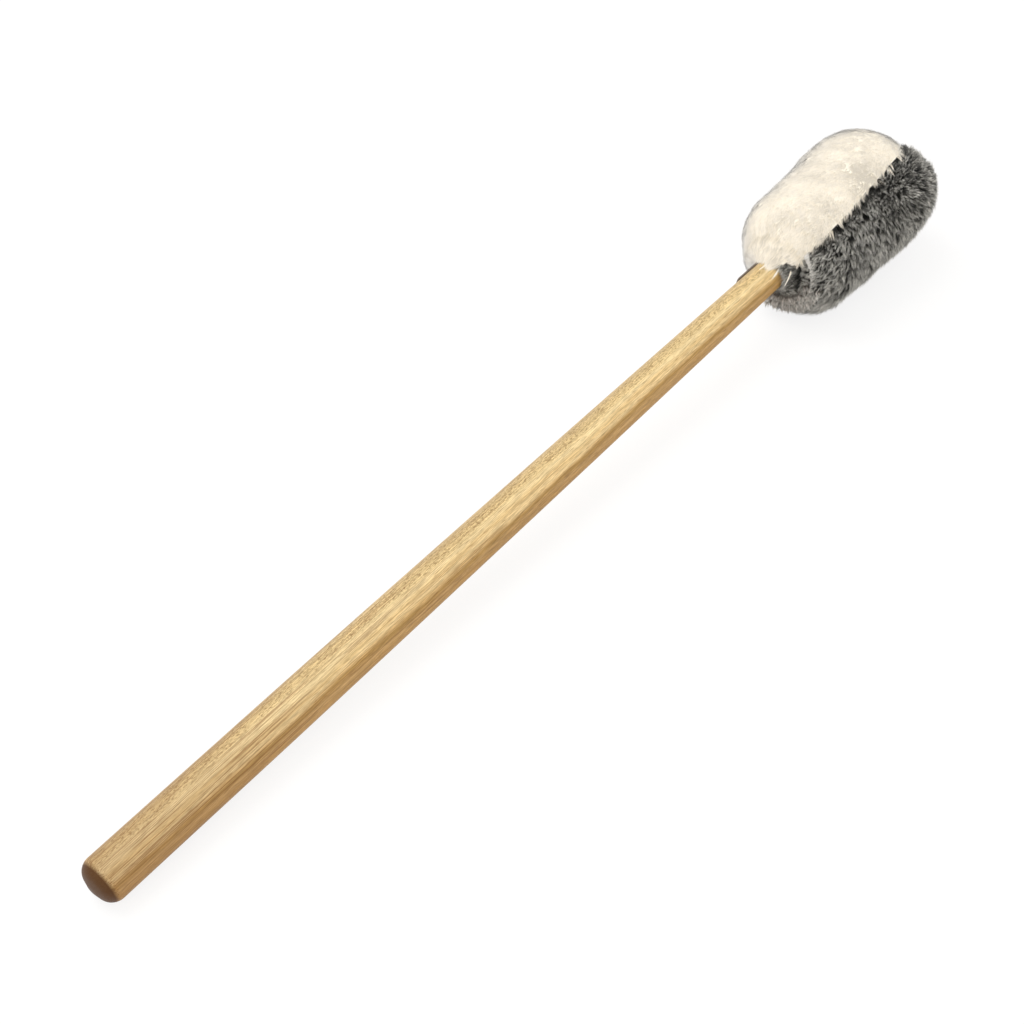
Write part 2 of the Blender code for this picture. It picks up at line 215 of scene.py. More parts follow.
def new_material(name):
    """A node material with only its shader and output."""
    made = bpy.data.materials.new(name)
    tree = empty_tree(made)
    shader = add_node(tree, "ShaderNodeBsdfPrincipled")
    add_node(tree, "ShaderNodeOutputMaterial", {"Surface": shader})
    return made, tree, shader


def per_mm(*sizes):
    """Scale of a pattern whose features measure so many millimetres."""
    return [1.0 / (size * MM) for size in sizes]


def on_axis(tree):
    """Object coordinates turned into the mallet's own frame: X is the station, Y and Z are across."""
    place = add_node(tree, "ShaderNodeTexCoord").outputs["Object"]
    turn = Matrix.Rotation(TILT, 3, "Y")
    return add_node(tree, "ShaderNodeMapping",
                    {"Vector": place, "Location": -(turn @ BUTT), "Rotation": (0.0, TILT, 0.0)})


def oiled_hardwood(colours):
    """Ash or hickory, turned, sanded and rubbed with oil: long fine lines and open pores, short ray flecks,
    a brown side and a pale one, and a satin skin that the hand has darkened at the grip. The brown side,
    which is turned down and away from the light, is partly the wood's own colour and partly painted shade."""
    made, tree, shader = new_material("oiled_hardwood")
    local = on_axis(tree)
    parts = add_node(tree, "ShaderNodeSeparateXYZ", {"Vector": local})
    station = parts.outputs["X"]
    angle = add_node(tree, "ShaderNodeMath", {0: parts.outputs["Y"], 1: parts.outputs["Z"]},
                     operation="ARCTAN2")

    # the grain's patterns, with how far a feature reaches along the handle and across it in millimetres;
    # the finest lines, pores and flecks are drawn 0.3 to 0.4 mm wide, coarser than real ones, to show
    grain = {}
    for name, along, across, detail, rough in (
            ("waver", 60, 6, 3.0, 0.6), ("fine", 6, 0.30, 2.0, 0.6), ("broad", 34, 1.2, 3.0, 0.6),
            ("pores", 5, 0.26, 1.0, 0.5), ("gaps", 7, 4, 2.0, 0.5), ("rings", 60, 0.42, 2.0, 0.5),
            ("flecks", 1.5, 0.42, 1.0, 0.5)):
        spread = add_node(tree, "ShaderNodeMapping",
                          {"Vector": local, "Scale": per_mm(along, across, across)})
        grain[name] = add_node(tree, "ShaderNodeTexNoise", {"Vector": spread, "Scale": 1.0,
                                                            "Detail": detail, "Roughness": rough})

    # tone round the handle, from the underside through the near side to the top: a brown band, its dark
    # edge, a cream streak beside it and paler wood above, all wandering with the grain. The brown band on
    # the side turned from the light is partly the wood's own colour and partly painted shade.
    turned = add_node(tree, "ShaderNodeMath", {0: angle, 1: 0.5 / math.pi, 2: 0.45},
                      operation="MULTIPLY_ADD")
    around = add_node(tree, "ShaderNodeMath", {0: grain["waver"], 1: 0.10, 2: turned},
                      operation="MULTIPLY_ADD")
    tone = add_node(tree, "ShaderNodeValToRGB", {"Fac": around}, [
        (0.0, colours.brown_wood_and_shade), (0.15, "B88E54"), (0.24, "BC9254"), (0.295, "C9A26B"),
        (0.334, "B48E52"), (0.348, "D2AC72"), (0.376, "EDD09B"), (0.400, "E2C28A"),
        (0.445, colours.pale_wood), (0.486, "E6CB95"), (0.529, "DEC28C"), (0.589, "D3B888"),
        (0.72, "D2B381"), (0.86, "DCBE89"), (1.0, colours.brown_wood_and_shade)])
    lines = add_node(tree, "ShaderNodeMix", {0: 0.30, 2: grain["fine"], 3: grain["broad"]},
                     data_type="FLOAT")
    shade = add_node(tree, "ShaderNodeMapRange", {"Value": lines, "From Min": 0.36, "From Max": 0.64,
                                                  "To Min": 0.68, "To Max": 1.24})
    tone = add_node(tree, "ShaderNodeVectorMath", {0: tone, "Scale": shade}, operation="SCALE")

    # ray flecks: short brown dashes along the grain, thickest on the side that was cut along the rings
    band = add_node(tree, "ShaderNodeValToRGB", {"Fac": around}, [
        (0.46, (0.0,) * 3), (0.50, (1.0,) * 3), (0.58, (1.0,) * 3), (0.66, (0.0,) * 3)])

    # masks: a pattern or a station, where its mask is nothing and where it is full, and how full
    masks = {}
    for name, value, nothing, full, most in (
            ("pores", grain["pores"], 0.60, 0.743, 0.60), ("flecks", grain["flecks"], 0.52, 0.60, 0.62),
            ("gaps", grain["gaps"], 0.24, 0.44, 1.0), ("rings", grain["rings"], 0.52, 0.61, 0.72),
            ("lower half", station, 363 * MM, 33 * MM, 1.0), ("grip", station, 130 * MM, 0.0, 0.46),
            # the butt's mask darkens its end grain partly as oiled end grain is and partly with painted
            # shade
            ("butt", station, 4.9 * MM, 3.4 * MM, 0.96)):
        masks[name] = add_node(tree, "ShaderNodeMapRange", {"Value": value, "From Min": nothing,
                                                            "From Max": full, "To Max": most})
    for name, other in (("flecks", masks["gaps"]), ("flecks", band), ("rings", masks["lower half"])):
        masks[name] = add_node(tree, "ShaderNodeMath", {0: masks[name], 1: other}, operation="MULTIPLY")
    # brown pores, flecks and ring lines, then a grip darkened by hands, and end grain that drank more oil
    # and is darkened further with painted shade, as the butt's end faces away from the light
    for name, colour in (("pores", "8A6030"), ("flecks", "7A5A2A"), ("rings", "86592C"), ("grip", "8A6238"),
                         ("butt", "502E08")):
        tone = add_node(tree, "ShaderNodeMix", {0: masks[name], 6: tone, 7: linear(colour)},
                        data_type="RGBA").outputs[2]
    lift = add_node(tree, "ShaderNodeMath", {0: grain["fine"], 1: 0.36}, operation="MULTIPLY")
    relief = add_node(tree, "ShaderNodeMath", {0: lift, 1: masks["pores"]}, operation="SUBTRACT")
    bump = add_node(tree, "ShaderNodeBump", {"Height": relief, "Distance": 0.08 * MM, "Strength": 0.6})
    connect(tree, shader, {"Base Color": tone, "Normal": bump, "Roughness": 0.5, "Specular IOR Level": 0.22,
                           "Coat Weight": 0.03, "Coat Roughness": 0.3})
    return made


def fibre_material(name, stops, dimmest, brightest, sheen):
    """Acrylic pile fibre, extruded and crimped: a dull thread that runs from one colour at its root to
    another at its tip, lighter or darker from lock to lock. The map's v is the place along the fibre and
    its u the lock's tone."""
    made, tree, shader = new_material(name)
    place = add_node(tree, "ShaderNodeUVMap", uv_map="OFBake")
    parts = add_node(tree, "ShaderNodeSeparateXYZ", {"Vector": place})
    along = add_node(tree, "ShaderNodeValToRGB", {"Fac": parts.outputs["Y"]}, stops)
    shade = add_node(tree, "ShaderNodeMapRange", {"Value": parts, "To Min": dimmest, "To Max": brightest})
    colour = add_node(tree, "ShaderNodeVectorMath", {0: along, "Scale": shade}, operation="SCALE")
    connect(tree, shader, {"Base Color": colour, "Roughness": 0.6, "Specular IOR Level": 0.3,
                           "Sheen Weight": sheen, "Sheen Roughness": 0.4})
    return made


def patterned(tree, size_mm, kind, inputs, stops, relief_mm, strength, place=None):
    """Colour and relief from one pattern, whose features measure so many millimetres each way. It lies on
    Object coordinates where no others are given."""
    place = place or add_node(tree, "ShaderNodeTexCoord").outputs["Object"]
    spread = add_node(tree, "ShaderNodeMapping", {"Vector": place, "Scale": per_mm(*size_mm)})
    pattern = add_node(tree, kind, {"Vector": spread, "Scale": 1.0, **inputs})
    colour = add_node(tree, "ShaderNodeValToRGB", {"Fac": pattern}, stops)
    bump = add_node(tree, "ShaderNodeBump",
                    {"Height": pattern, "Distance": relief_mm * MM, "Strength": strength})
    return {"Base Color": colour, "Normal": bump}


def knitted_backing(name, low, high, size_mm):
    """Knitted polyester backing with the roots of the pile: a matt cloth, mottled, with painted shade in
    its low places.
    """
    made, tree, shader = new_material(name)
    cloth = patterned(tree, [size_mm] * 3, "ShaderNodeTexNoise", {"Detail": 3.0, "Roughness": 0.6},
                      [(0.3, low), (0.7, high)], 0.4, 0.8)
    connect(tree, shader, {**cloth, "Roughness": 0.95})
    return made


def turned_beech():
    """Beech, turned and left bare: pale and even, with small brown flecks 5 mm long along the grain."""
    made, tree, shader = new_material("turned_beech")
    wood = patterned(tree, (5, 0.4, 0.4), "ShaderNodeTexNoise", {"Detail": 1.0},
                     [(0.35, "D2A679"), (0.6, "C2936A"), (0.7, "9A6B45")], 0.05, 0.4, on_axis(tree))
    connect(tree, shader, {**wood, "Roughness": 0.55})
    return made


def plated_steel(name, tone, roughness):
    """Zinc-plated steel, stamped or turned: a pale grey metal with faint marks of the tool."""
    made, tree, shader = new_material(name)
    metal = patterned(tree, (0.3, 2.0, 2.0), "ShaderNodeTexNoise", {}, [(0.3, tone), (0.8, "D9DBDD")],
                      0.01, 0.5, on_axis(tree))
    connect(tree, shader, {**metal, "Metallic": 1.0, "Roughness": roughness})
    return made


def porous(name, low, high, cell_mm):
    """Pressed wool felt or open-cell foam: small tufts or cells, with painted shade darkening the pits
    between them.
    """
    made, tree, shader = new_material(name)
    cells = patterned(tree, [cell_mm] * 3, "ShaderNodeTexVoronoi", {}, [(0.1, low), (0.6, high)], 0.3, 0.7)
    connect(tree, shader, {**cells, "Roughness": 0.95})
    return made


def waxed_thread():
    """Twisted cotton thread drawn through wax: off-white plies, 0.8 mm from crest to crest."""
    made, tree, shader = new_material("waxed_thread")
    place = add_node(tree, "ShaderNodeTexCoord").outputs["Object"]
    # a wave's crests lie 1 / (2.5 * scale) apart
    plies = add_node(tree, "ShaderNodeTexWave",
                     {"Vector": place, "Scale": 1.0 / (2.5 * 0.8 * MM), "Distortion": 1.0},
                     wave_type="BANDS", bands_direction="DIAGONAL").outputs["Fac"]
    # the plies are darker in their grooves, where the colour is painted shade
    colour = add_node(tree, "ShaderNodeValToRGB", {"Fac": plies}, [(0.1, "A9A18C"), (0.8, "E2DCCB")])
    bump = add_node(tree, "ShaderNodeBump", {"Height": plies, "Distance": 0.1 * MM, "Strength": 0.8})
    connect(tree, shader, {"Base Color": colour, "Normal": bump, "Roughness": 0.6})
    return made


def deselect():
    """Leave edit mode and select nothing, because an operator acts on all that is selected."""
    if bpy.context.object and bpy.context.object.mode != "OBJECT":
        bpy.ops.object.mode_set(mode="OBJECT")
    bpy.ops.object.select_all(action="DESELECT")


def settle(piece, name, finish, turned=True):
    """Name a piece and give it its finish. One that was modelled along its own Z is laid on the
    mallet's axis, with its place in its mesh."""
    if turned:
        piece.data.transform(AXIS @ Matrix.Rotation(math.pi / 2, 4, "Y"))
    piece.name = name
    piece.data.name = name
    piece.data.materials.clear()
    piece.data.materials.append(finish)
    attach(piece, "root")
    return piece


def handle_radius(sizes, station):
    """Radius of the handle at a station: the grip, then a taper that quickens towards the neck."""
    grip, neck = sizes.grip_diameter / MM / 2, sizes.neck_diameter / MM / 2
    share = max(0.0, (station - GRIP_END) / (SHOULDER - GRIP_END))
    return grip - (grip - neck) * share ** TAPER_POWER


def handle_line(sizes):
    """(station, radius) up the butt's corner and along the taper, down to the tenon and into its hole."""
    corner = handle_radius(sizes, 0.0) - BUTT_CORNER
    corner_station = BUTT_CORNER + BUTT_CROWN
    line = []
    for i in range(BUTT_STEPS + 1):
        angle = math.radians(BUTT_CORNER_END + (90 - BUTT_CORNER_END) * i / BUTT_STEPS)
        line.append((corner_station + BUTT_CORNER * math.cos(angle),
                     corner + BUTT_CORNER * math.sin(angle)))
    for i in range(1, TAPER_STEPS + 1):
        station = corner_station + (SHOULDER - BUTT_CORNER - BUTT_CROWN) * i / TAPER_STEPS
        line.append((station, handle_radius(sizes, station)))
    return line + [(SHOULDER, TENON_RADIUS), (TENON_END, TENON_RADIUS), (TENON_END, PILOT_RADIUS),
                   (PILOT_END, PILOT_RADIUS)]


class MALLET_OT_handle(Operator):
    """Turned handle with a rounded butt, a long taper and a tenon for the head"""
    bl_idname = "mallet.handle"
    bl_label = "Turned handle"

    def execute(self, context):
        deselect()
        bpy.ops.mesh.primitive_circle_add(vertices=HANDLE_SIDES, radius=BUTT_FLAT * MM, fill_type="NGON")
        piece = context.object
        bpy.ops.object.mode_set(mode="EDIT")
        bpy.ops.mesh.select_mode(type="FACE")
        bpy.ops.mesh.select_all(action="SELECT")
        station, radius = 0.0, BUTT_FLAT
        for next_station, next_radius in handle_line(context.scene.mallet_sizes):
            bpy.ops.mesh.extrude_region_move(
                TRANSFORM_OT_translate={"value": (0.0, 0.0, (next_station - station) * MM)})
            widening = next_radius / radius
            bpy.ops.transform.resize(value=(widening, widening, 1.0))
            station, radius = next_station, next_radius
        bpy.ops.mesh.select_all(action="SELECT")
        bpy.ops.mesh.normals_make_consistent(inside=False)
        bpy.ops.object.mode_set(mode="OBJECT")
        bpy.ops.object.shade_smooth_by_angle(angle=math.radians(35.0))
        settle(piece, "turned_handle", oiled_hardwood(context.scene.mallet_colours))
        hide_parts("handle")
        return {"FINISHED"}


def lining_line(count=24):
    """(station, radius) of the padding's room, from the tip's flat to the neck hole."""
    turns = [math.pi / 2 * i / count for i in range(count + 1)]
    tip = [(LINING_END - LINING_TIP_ROUND * (1 - math.cos(turn)),
            LINING_RADIUS - LINING_TIP_ROUND * (1 - math.sin(turn))) for turn in turns]
    neck = [(LINING_START + LINING_NECK_ROUND * (1 - math.sin(turn)),
             LINING_RADIUS - LINING_NECK_ROUND * (1 - math.cos(turn))) for turn in turns]
    return np.array(tip + neck)


def barrel_line(line, count=300):
    """Stations and radii along the pile's outer side, from the tip's pole to the neck's, evenly spaced."""
    turn = np.radians(np.linspace(0, 90, count))
    start, end = line["start"], line["end"]
    stations = np.concatenate([end - line["round_end"] * (1 - np.cos(turn)),
                               start + line["round_start"] * (1 - np.sin(turn))])
    share = np.concatenate([np.sin(turn), np.cos(turn)])
    radii = (NECK_RADIUS + (TIP_RADIUS - NECK_RADIUS) * (stations - start) / (end - start)) * share
    travel = np.concatenate([[0.0], np.cumsum(np.hypot(np.diff(stations), np.diff(radii)))])
    even = np.linspace(0.0, travel[-1], count)
    return np.interp(even, travel, stations), np.interp(even, travel, radii)


def ring_directions(phi):
    """Directions out from the axis at angles from the upper seam towards the grey side."""
    return np.cos(phi)[..., None] * SEAM_UP + np.sin(phi)[..., None] * SEAM_ACROSS


def hump(values, centre, width):
    """A smooth hump, 1 high at its centre."""
    return np.exp(-((values - centre) / width) ** 2)


def ramp(values, start, end):
    """From 0 at the start to 1 at the end, and level beyond them."""
    return np.clip((values - start) / (end - start), 0, 1)


def swelling(white, station, phi):
    """How far the pile stands out past its even outline, in millimetres, as hand-cut fur does."""
    # each wave's height, millimetres of station in a radian, turns round the axis and phase
    waves = (((0.2, 3.9, 2.1, 0.6), (0.2, 6.1, -3.0, 2.2), (0.2, 2.2, 5.0, 0.0)) if white
             else ((0.35, 3.1, 3.0, 1.6), (0.3, 4.7, -4.0, 0.0)))
    swell = sum(height * np.sin(station / pace + turns * phi + phase)
                for height, pace, turns, phase in waves)
    degrees = np.degrees(phi)
    if white:
        corner = 1.5 * hump(station, 523.0, 11.0) + 0.8 * hump(station, 503.0, 9.0)
        tuck = 1.3 * hump(station, 542.0, 12.0) * hump(degrees, -14.0, 15.0)
        return swell + corner * hump(degrees, -92.0, 50.0) - tuck
    return swell + 3.2 * hump(station, 546.0, 16.0) * hump(degrees, 44.0, 24.0)


def pile_surface(white, sizes, share, phi):
    """Outer surface of the pile at a share of the way from the tip to the neck and an angle round the axis:
    points, outward normals, and how deep the pile goes before it meets its backing."""
    stations, radii = barrel_line(WHITE_LINE if white else GREY_LINE)
    ds, dr = np.gradient(stations), np.gradient(radii)
    length = np.hypot(ds, dr)
    index = share * (len(stations) - 1)
    count = np.arange(len(stations))
    station, radius, out_s, out_r = [np.interp(index, count, v)
                                     for v in (stations, radii, dr / length, -ds / length)]
    out = ring_directions(phi)
    point = station[..., None] * ALONG + radius[..., None] * out + PILE_OFFSET * SEAM_ACROSS
    normal = out_s[..., None] * ALONG + out_r[..., None] * out
    if not white:
        aside = np.abs(np.degrees(phi) - SETBACK["middle"]) / SETBACK["half_width"]
        beyond = ramp(station, SETBACK["start"], SETBACK["end"])
        point[..., 0] -= beyond ** 1.5 * SETBACK["depth"] * np.clip(1 - aside, 0, 1)
    # the swelling dies away towards the poles, where the angles meet
    swell = swelling(white, station, phi) * np.clip(radius / 14.0, 0, 1)
    point = point + normal * swell[..., None]
    lining = lining_line()
    across = np.hypot(point[..., 1], point[..., 2])
    near = np.min(np.hypot(point[..., :1] - lining[:, 0], across[..., None] - lining[:, 1]), axis=-1)
    pile = (sizes.white_pile if white else sizes.grey_pile) / MM
    depth = np.clip(near - PADDING_CLEARANCE, 0.4, pile)
    return point, normal, depth


def backing_shell(white, sizes):
    """Closed cup of one half's backing, still whole round the axis: its outside lies under the pile and its
    inside on the padding."""
    phi = np.linspace(0, 2 * math.pi, SKIN_SIDES, endpoint=False) - math.pi

    # outside, from the tip to the hole of the white half or the rim of the grey one
    rows = []
    for share in np.linspace(0, 1, SKIN_ROWS)[1:-1]:
        point, normal, depth = pile_surface(white, sizes, np.full(SKIN_SIDES, share), phi)
        row = point - normal * depth[:, None]
        inner = np.hypot(row[:, 1], row[:, 2]).min()
        if share > 0.7 and inner < (NECK_HOLE + 1.2 if white else RIM_RADIUS):
            break
        rows.append(row)

    # the neck's end, then the inside, back to the tip
    out = ring_directions(phi)

    def ring(station, radius):
        return station * ALONG + radius * out
    if white:
        neck = float(rows[-1][:, 0].min())
        rows += [ring(min(neck, LINING_START - 1.5), NECK_HOLE)]
    else:
        rows += [ring(FACE_STATION - 0.6, FACE_RADIUS + 1.2), ring(FACE_STATION, FACE_RADIUS),
                 ring(FACE_STATION, NECK_HOLE)]
    rows += [ring(LINING_START, NECK_HOLE), ring(LINING_START, LINING_NECK_FLAT)]
    rows += [ring(s, r) for s, r in lining_line(12)[::-1]]
    tip = rows[0].mean(axis=0)
    verts = np.concatenate(rows + [[tip], [LINING_END * ALONG]])
    last = len(rows) * SKIN_SIDES
    faces = []
    for j in range(SKIN_SIDES):
        k = (j + 1) % SKIN_SIDES
        faces.append((last, j, k))
        for i in range(len(rows) - 1):
            a, b = i * SKIN_SIDES, (i + 1) * SKIN_SIDES
            faces.append((a + j, b + j, b + k, a + k))
        faces.append((last - SKIN_SIDES + k, last - SKIN_SIDES + j, last + 1))
    mesh = bpy.data.meshes.new("backing")
    mesh.from_pydata((verts * MM).tolist(), [], faces)
    return mesh


class MALLET_OT_backing(Operator):
    """Knitted backing of the fur cover, one shell for each half"""
    bl_idname = "mallet.backing"
    bl_label = "Fur backing"

    def execute(self, context):
        sizes = context.scene.mallet_sizes
        for name, white, low, high, mottle_mm in (("white", True, "F8EFDD", "FFF8EA", 1.6),
                                                  ("grey", False, "171613", "34322E", 1.2)):
            piece = bpy.data.objects.new("backing", backing_shell(white, sizes))
            context.collection.objects.link(piece)
            deselect()
            piece.select_set(True)
            context.view_layer.objects.active = piece
            side = -1.0 if white else 1.0
            normal = (Vector(SEAM_ACROSS) + SEAM_SKEW * Vector(ALONG)).normalized() * side
            middle = Vector((HEAD_MIDDLE * MM, 0.0, 0.0)) + normal * BACKING_GAP * MM
            bpy.ops.object.mode_set(mode="EDIT")
            bpy.ops.mesh.select_all(action="SELECT")
            bpy.ops.mesh.bisect(plane_co=middle, plane_no=-normal, use_fill=True, clear_outer=True)
            bpy.ops.mesh.select_all(action="SELECT")
            bpy.ops.mesh.normals_make_consistent(inside=False)
            bpy.ops.object.mode_set(mode="OBJECT")
            piece.data.transform(AXIS)
            bpy.ops.object.shade_smooth_by_angle(angle=math.radians(50.0))
            finish = knitted_backing(name + "_knitted_backing", low, high, mottle_mm)
            settle(piece, name + "_backing", finish, turned=False)
            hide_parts(name + "_fur_panel")
        return {"FINISHED"}


def seam_distance(point, white):
    """How far points are from the seam plane, on their own half's side."""
    across = point @ SEAM_ACROSS - (HEAD_MIDDLE - point[..., 0]) * SEAM_SKEW
    return -across if white else across


def sites(white, sizes, count, rng):
    """Places for locks, spread evenly over one half: points of the pile's surface, normals, depths,
    distances from the seam and angles."""
    radii = barrel_line(WHITE_LINE if white else GREY_LINE)[1]
    weight = np.cumsum(radii)
    tries = count * 3
    share = np.interp(rng.random(tries) * weight[-1], weight, np.linspace(0, 1, len(radii)))
    phi = rng.random(tries) * 2 * math.pi - math.pi
    point, normal, depth = pile_surface(white, sizes, share, phi)
    seam = seam_distance(point - normal * depth[:, None], white)
    # white locks keep back from the seam, and grey ones reach over it, most in the middle
    border = 1.0 if white else -0.4 - 2.4 * hump(point[:, 0], 486.0, 17.0)
    across = np.hypot(point[:, 1], point[:, 2])
    closed = (share < 0.6) | (across > (NECK_HOLE + 0.8 if white else RIM_RADIUS))
    index = np.flatnonzero((seam > border) & closed)[:count]
    return point[index], normal[index], depth[index], seam[index], phi[index]


def tangent(vectors, normals):
    """Vectors laid on to the surface and given the length 1."""
    flat = vectors - np.sum(vectors * normals, axis=1, keepdims=True) * normals
    return flat / np.maximum(np.linalg.norm(flat, axis=1, keepdims=True), 1e-9)


def grow(point, normal, depth, height, flow, lean, fibres, spread, gather, wild, rng, bow=0.3):
    """Fibres in locks. Each fibre leaves the backing near its lock's middle, stands up and leans with the
    lock's flow to an end that is drawn towards the lock's own; bow is how far it stands up before it leans.
    Returns roots, middles, tips and the direction that the pile faces there."""
    locks = len(point)
    turn = rng.normal(0.0, wild, locks)[:, None]
    flow = np.cos(turn) * flow + np.sin(turn) * np.cross(normal, flow)
    side = np.cross(normal, flow)
    around = rng.random((locks, fibres)) * 2 * math.pi
    away = spread * np.sqrt(rng.random((locks, fibres)))
    offset = ((np.cos(around) * away)[..., None] * flow[:, None]
              + (np.sin(around) * away)[..., None] * side[:, None])
    length = rng.uniform(0.80, 1.04, (locks, fibres))[..., None]
    foot = (point - normal * depth[:, None])[:, None]
    rise = normal[:, None] * height[:, None, None] * length
    sweep = flow[:, None] * lean[:, None, None] * length
    root = foot - normal[:, None] * 0.3 + offset
    middle = foot + offset * (1 - gather * 0.55) + rise * (0.5 + bow) + sweep * (0.5 - bow * 0.66)
    tip = foot + offset * (1 - gather) + rise + sweep + rng.normal(0.0, 0.16, offset.shape)
    facing = np.broadcast_to(normal[:, None], offset.shape)
    return [part.reshape(-1, 3) for part in (root, middle, tip, facing)]


def grow_along(point, out, height, flow, lean, fibres, spread, gather, wild, rng):
    """Fibres in locks that grow along the handle, towards the butt, shaded as if they faced halfway out."""
    count = len(point)
    strands = grow(point, np.tile(-ALONG, (count, 1)), np.zeros(count), height, flow, lean, fibres, spread,
                   gather, wild, rng)
    strands[3][:] = 0.5 * strands[3] + 0.5 * np.repeat(out, fibres, axis=0)
    return strands


def on_face(white, station, radius, phi, border):
    """Places for locks round the handle, where they are past the border from the seam on their own half:
    points, outward directions and the numbers of the places kept."""
    out = ring_directions(phi)
    point = np.reshape(station, (-1, 1)) * ALONG + radius[:, None] * out
    keep = np.flatnonzero(seam_distance(point, white) > border)
    return point[keep], out[keep], keep


def patches(station, phi):
    """Broad soft patches, 10 to 20 mm across, from -1 to 1."""
    return (np.sin(station / 3.3 + 2.0 * phi) * np.sin(4.0 * phi - station / 8.1 + 0.7)
            + 0.6 * np.sin(station / 5.2 - 6.0 * phi + 1.9)) / 1.6


def dressed(strands, thick, tone, pale, fibres, rng, vary=0.05):
    """Strands with their radii in millimetres, a tone for each lock and how far it is paled or darkened."""
    count = len(strands[0])
    tones = np.clip(np.repeat(tone, fibres) + rng.normal(0.0, vary, count), 0, 1)
    pales = np.repeat(pale, fibres) if np.ndim(pale) else np.full(count, pale)
    return (*strands, rng.uniform(*thick, count), tones, pales)


def fur_mesh(name, soft, flat, root, middle, tip, facing, thick, tone, pale):
    """Three-sided fibres as one mesh: a closed root, a waist and a point, with a map for their colour.
    Their shading follows the pile's surface for the share soft, as light spread by many fibres does, and
    flat is their thickness across that surface as a share of their width."""
    # two directions across each fibre: its width, and its thickness, which faces out of the pile
    count = len(root)
    ahead = middle - root
    ahead /= np.linalg.norm(ahead, axis=1, keepdims=True)
    lift = facing - np.sum(facing * ahead, axis=1, keepdims=True) * ahead
    upright = np.linalg.norm(lift, axis=1, keepdims=True) < 0.2
    helper = np.where(np.abs(ahead[:, :1]) < 0.8, ALONG, np.array([0.0, 1.0, 0.0]))
    second = np.where(upright, np.cross(ahead, helper), lift)
    second /= np.linalg.norm(second, axis=1, keepdims=True)
    first = np.cross(second, ahead)

    # corners, turned on to the mallet's axis and kept above the table
    verts = np.zeros((count, 7, 3))
    shading = np.repeat(facing[:, None] * soft, 7, axis=1)
    for i in range(3):
        angle = math.pi / 2 + 2 * math.pi * i / 3
        ray = math.cos(angle) * first + math.sin(angle) * second
        side = (math.cos(angle) * first + math.sin(angle) * flat * second) * thick[:, None]
        verts[:, i] = root + side
        verts[:, 3 + i] = middle + side * 0.85
        shading[:, i] += ray * (1 - soft)
        shading[:, 3 + i] += ray * (1 - soft)
    verts[:, 6] = tip
    world = np.array(AXIS, float)
    spots = verts.reshape(-1, 3) * MM @ world[:3, :3].T + world[:3, 3]
    stop = TABLE_CLEARANCE + TABLE_SCATTER * np.abs(np.sin(np.arange(len(spots))))
    spots[:, 2] = np.maximum(spots[:, 2], stop)

    # triangles of one fibre, with each corner's place round it and along it
    pattern, places = [(2, 1, 0)], [((2, 0), (1, 0), (0, 0))]
    for i in range(3):
        j = (i + 1) % 3
        pattern += [(i, j, 3 + j), (i, 3 + j, 3 + i), (3 + i, 3 + j, 6)]
        places += [((i, 0), (i + 1, 0), (i + 1, 1)), ((i, 0), (i + 1, 1), (i, 1)),
                   ((i, 1), (i + 1, 1), (i + 0.5, 2))]
    faces = (np.arange(count)[:, None, None] * 7 + np.array(pattern)).reshape(-1)

    mesh = bpy.data.meshes.new(name)
    mesh.vertices.add(len(spots))
    mesh.vertices.foreach_set("co", spots.ravel())
    mesh.loops.add(len(faces))
    mesh.loops.foreach_set("vertex_index", faces.astype(np.int32))
    total = count * len(pattern)
    mesh.polygons.add(total)
    mesh.polygons.foreach_set("loop_start", np.arange(0, total * 3, 3, dtype=np.int32))
    layer = mesh.uv_layers.new(name="OFBake")
    place = np.array(places, float)
    uv = np.empty((count,) + place.shape)
    uv[..., 0] = 0.01 + tone[:, None, None] * 0.97 + place[..., 0] * 0.004
    shift = pale[:, None, None]
    uv[..., 1] = 0.02 + 0.96 * np.clip(shift + place[..., 1] * 0.5 * (1 - np.abs(shift)), 0, 1)
    layer.data.foreach_set("uv", uv.ravel())
    mesh.update()
    mesh.validate()
    mesh.polygons.foreach_set("use_smooth", np.ones(total, bool))
    shading = shading.reshape(-1, 3) @ world[:3, :3].T
    shading /= np.linalg.norm(shading, axis=1, keepdims=True)
    mesh.normals_split_custom_set_from_vertices(shading.tolist())
    piece = bpy.data.objects.new(name, mesh)
    bpy.context.collection.objects.link(piece)
    return piece


def plant(name, soft, flat, parts, finish, slot):
    """Split fibres into pieces of a limited size, from the neck to the tip, and put each on the mallet."""
    facts = [np.concatenate(part) for part in zip(*parts)]
    pieces = math.ceil(len(facts[0]) * FIBRE_TRIANGLES / PIECE_TRIANGLES)
    order = np.argsort(facts[0][:, 0], kind="stable")
    for number, chosen in enumerate(np.array_split(order, pieces)):
        title = f"{name}_{number + 1}"
        piece = fur_mesh(title, soft, flat, *[fact[chosen] for fact in facts])
        settle(piece, title, finish, turned=False)
        # white fibres scatter light on to each other, so only their backing shades the pile
        piece.visible_shadow = piece.visible_diffuse = slot != "white_plush"


def whorl_locks(sizes, whorl, rng, count=210):
    """Upright locks that close the middle of the grey whorl."""
    facing = np.tile(ring_directions(WHORL_ANGLE), (count, 1))
    turn = rng.uniform(0, 2 * math.pi, count)[:, None]
    away = 12.0 * rng.random(count)[:, None] ** 0.7
    flow = np.cos(turn) * ALONG + np.sin(turn) * np.cross(facing, ALONG)
    point = whorl + away * flow
    keep = seam_distance(point, False) > 1.0
    point, facing, flow, away = point[keep], facing[keep], flow[keep], away[keep, 0]
    count = len(point)
    strands = grow(point, facing, np.full(count, 6.3), rng.uniform(4.9, 5.9, count), flow,
                   0.8 + away * 0.25, sizes.fibres, 1.0, 0.80, 0.5, rng)
    return dressed(strands, GREY_FIBRE, rng.random(count), 0.12, sizes.fibres, rng, 0.16)


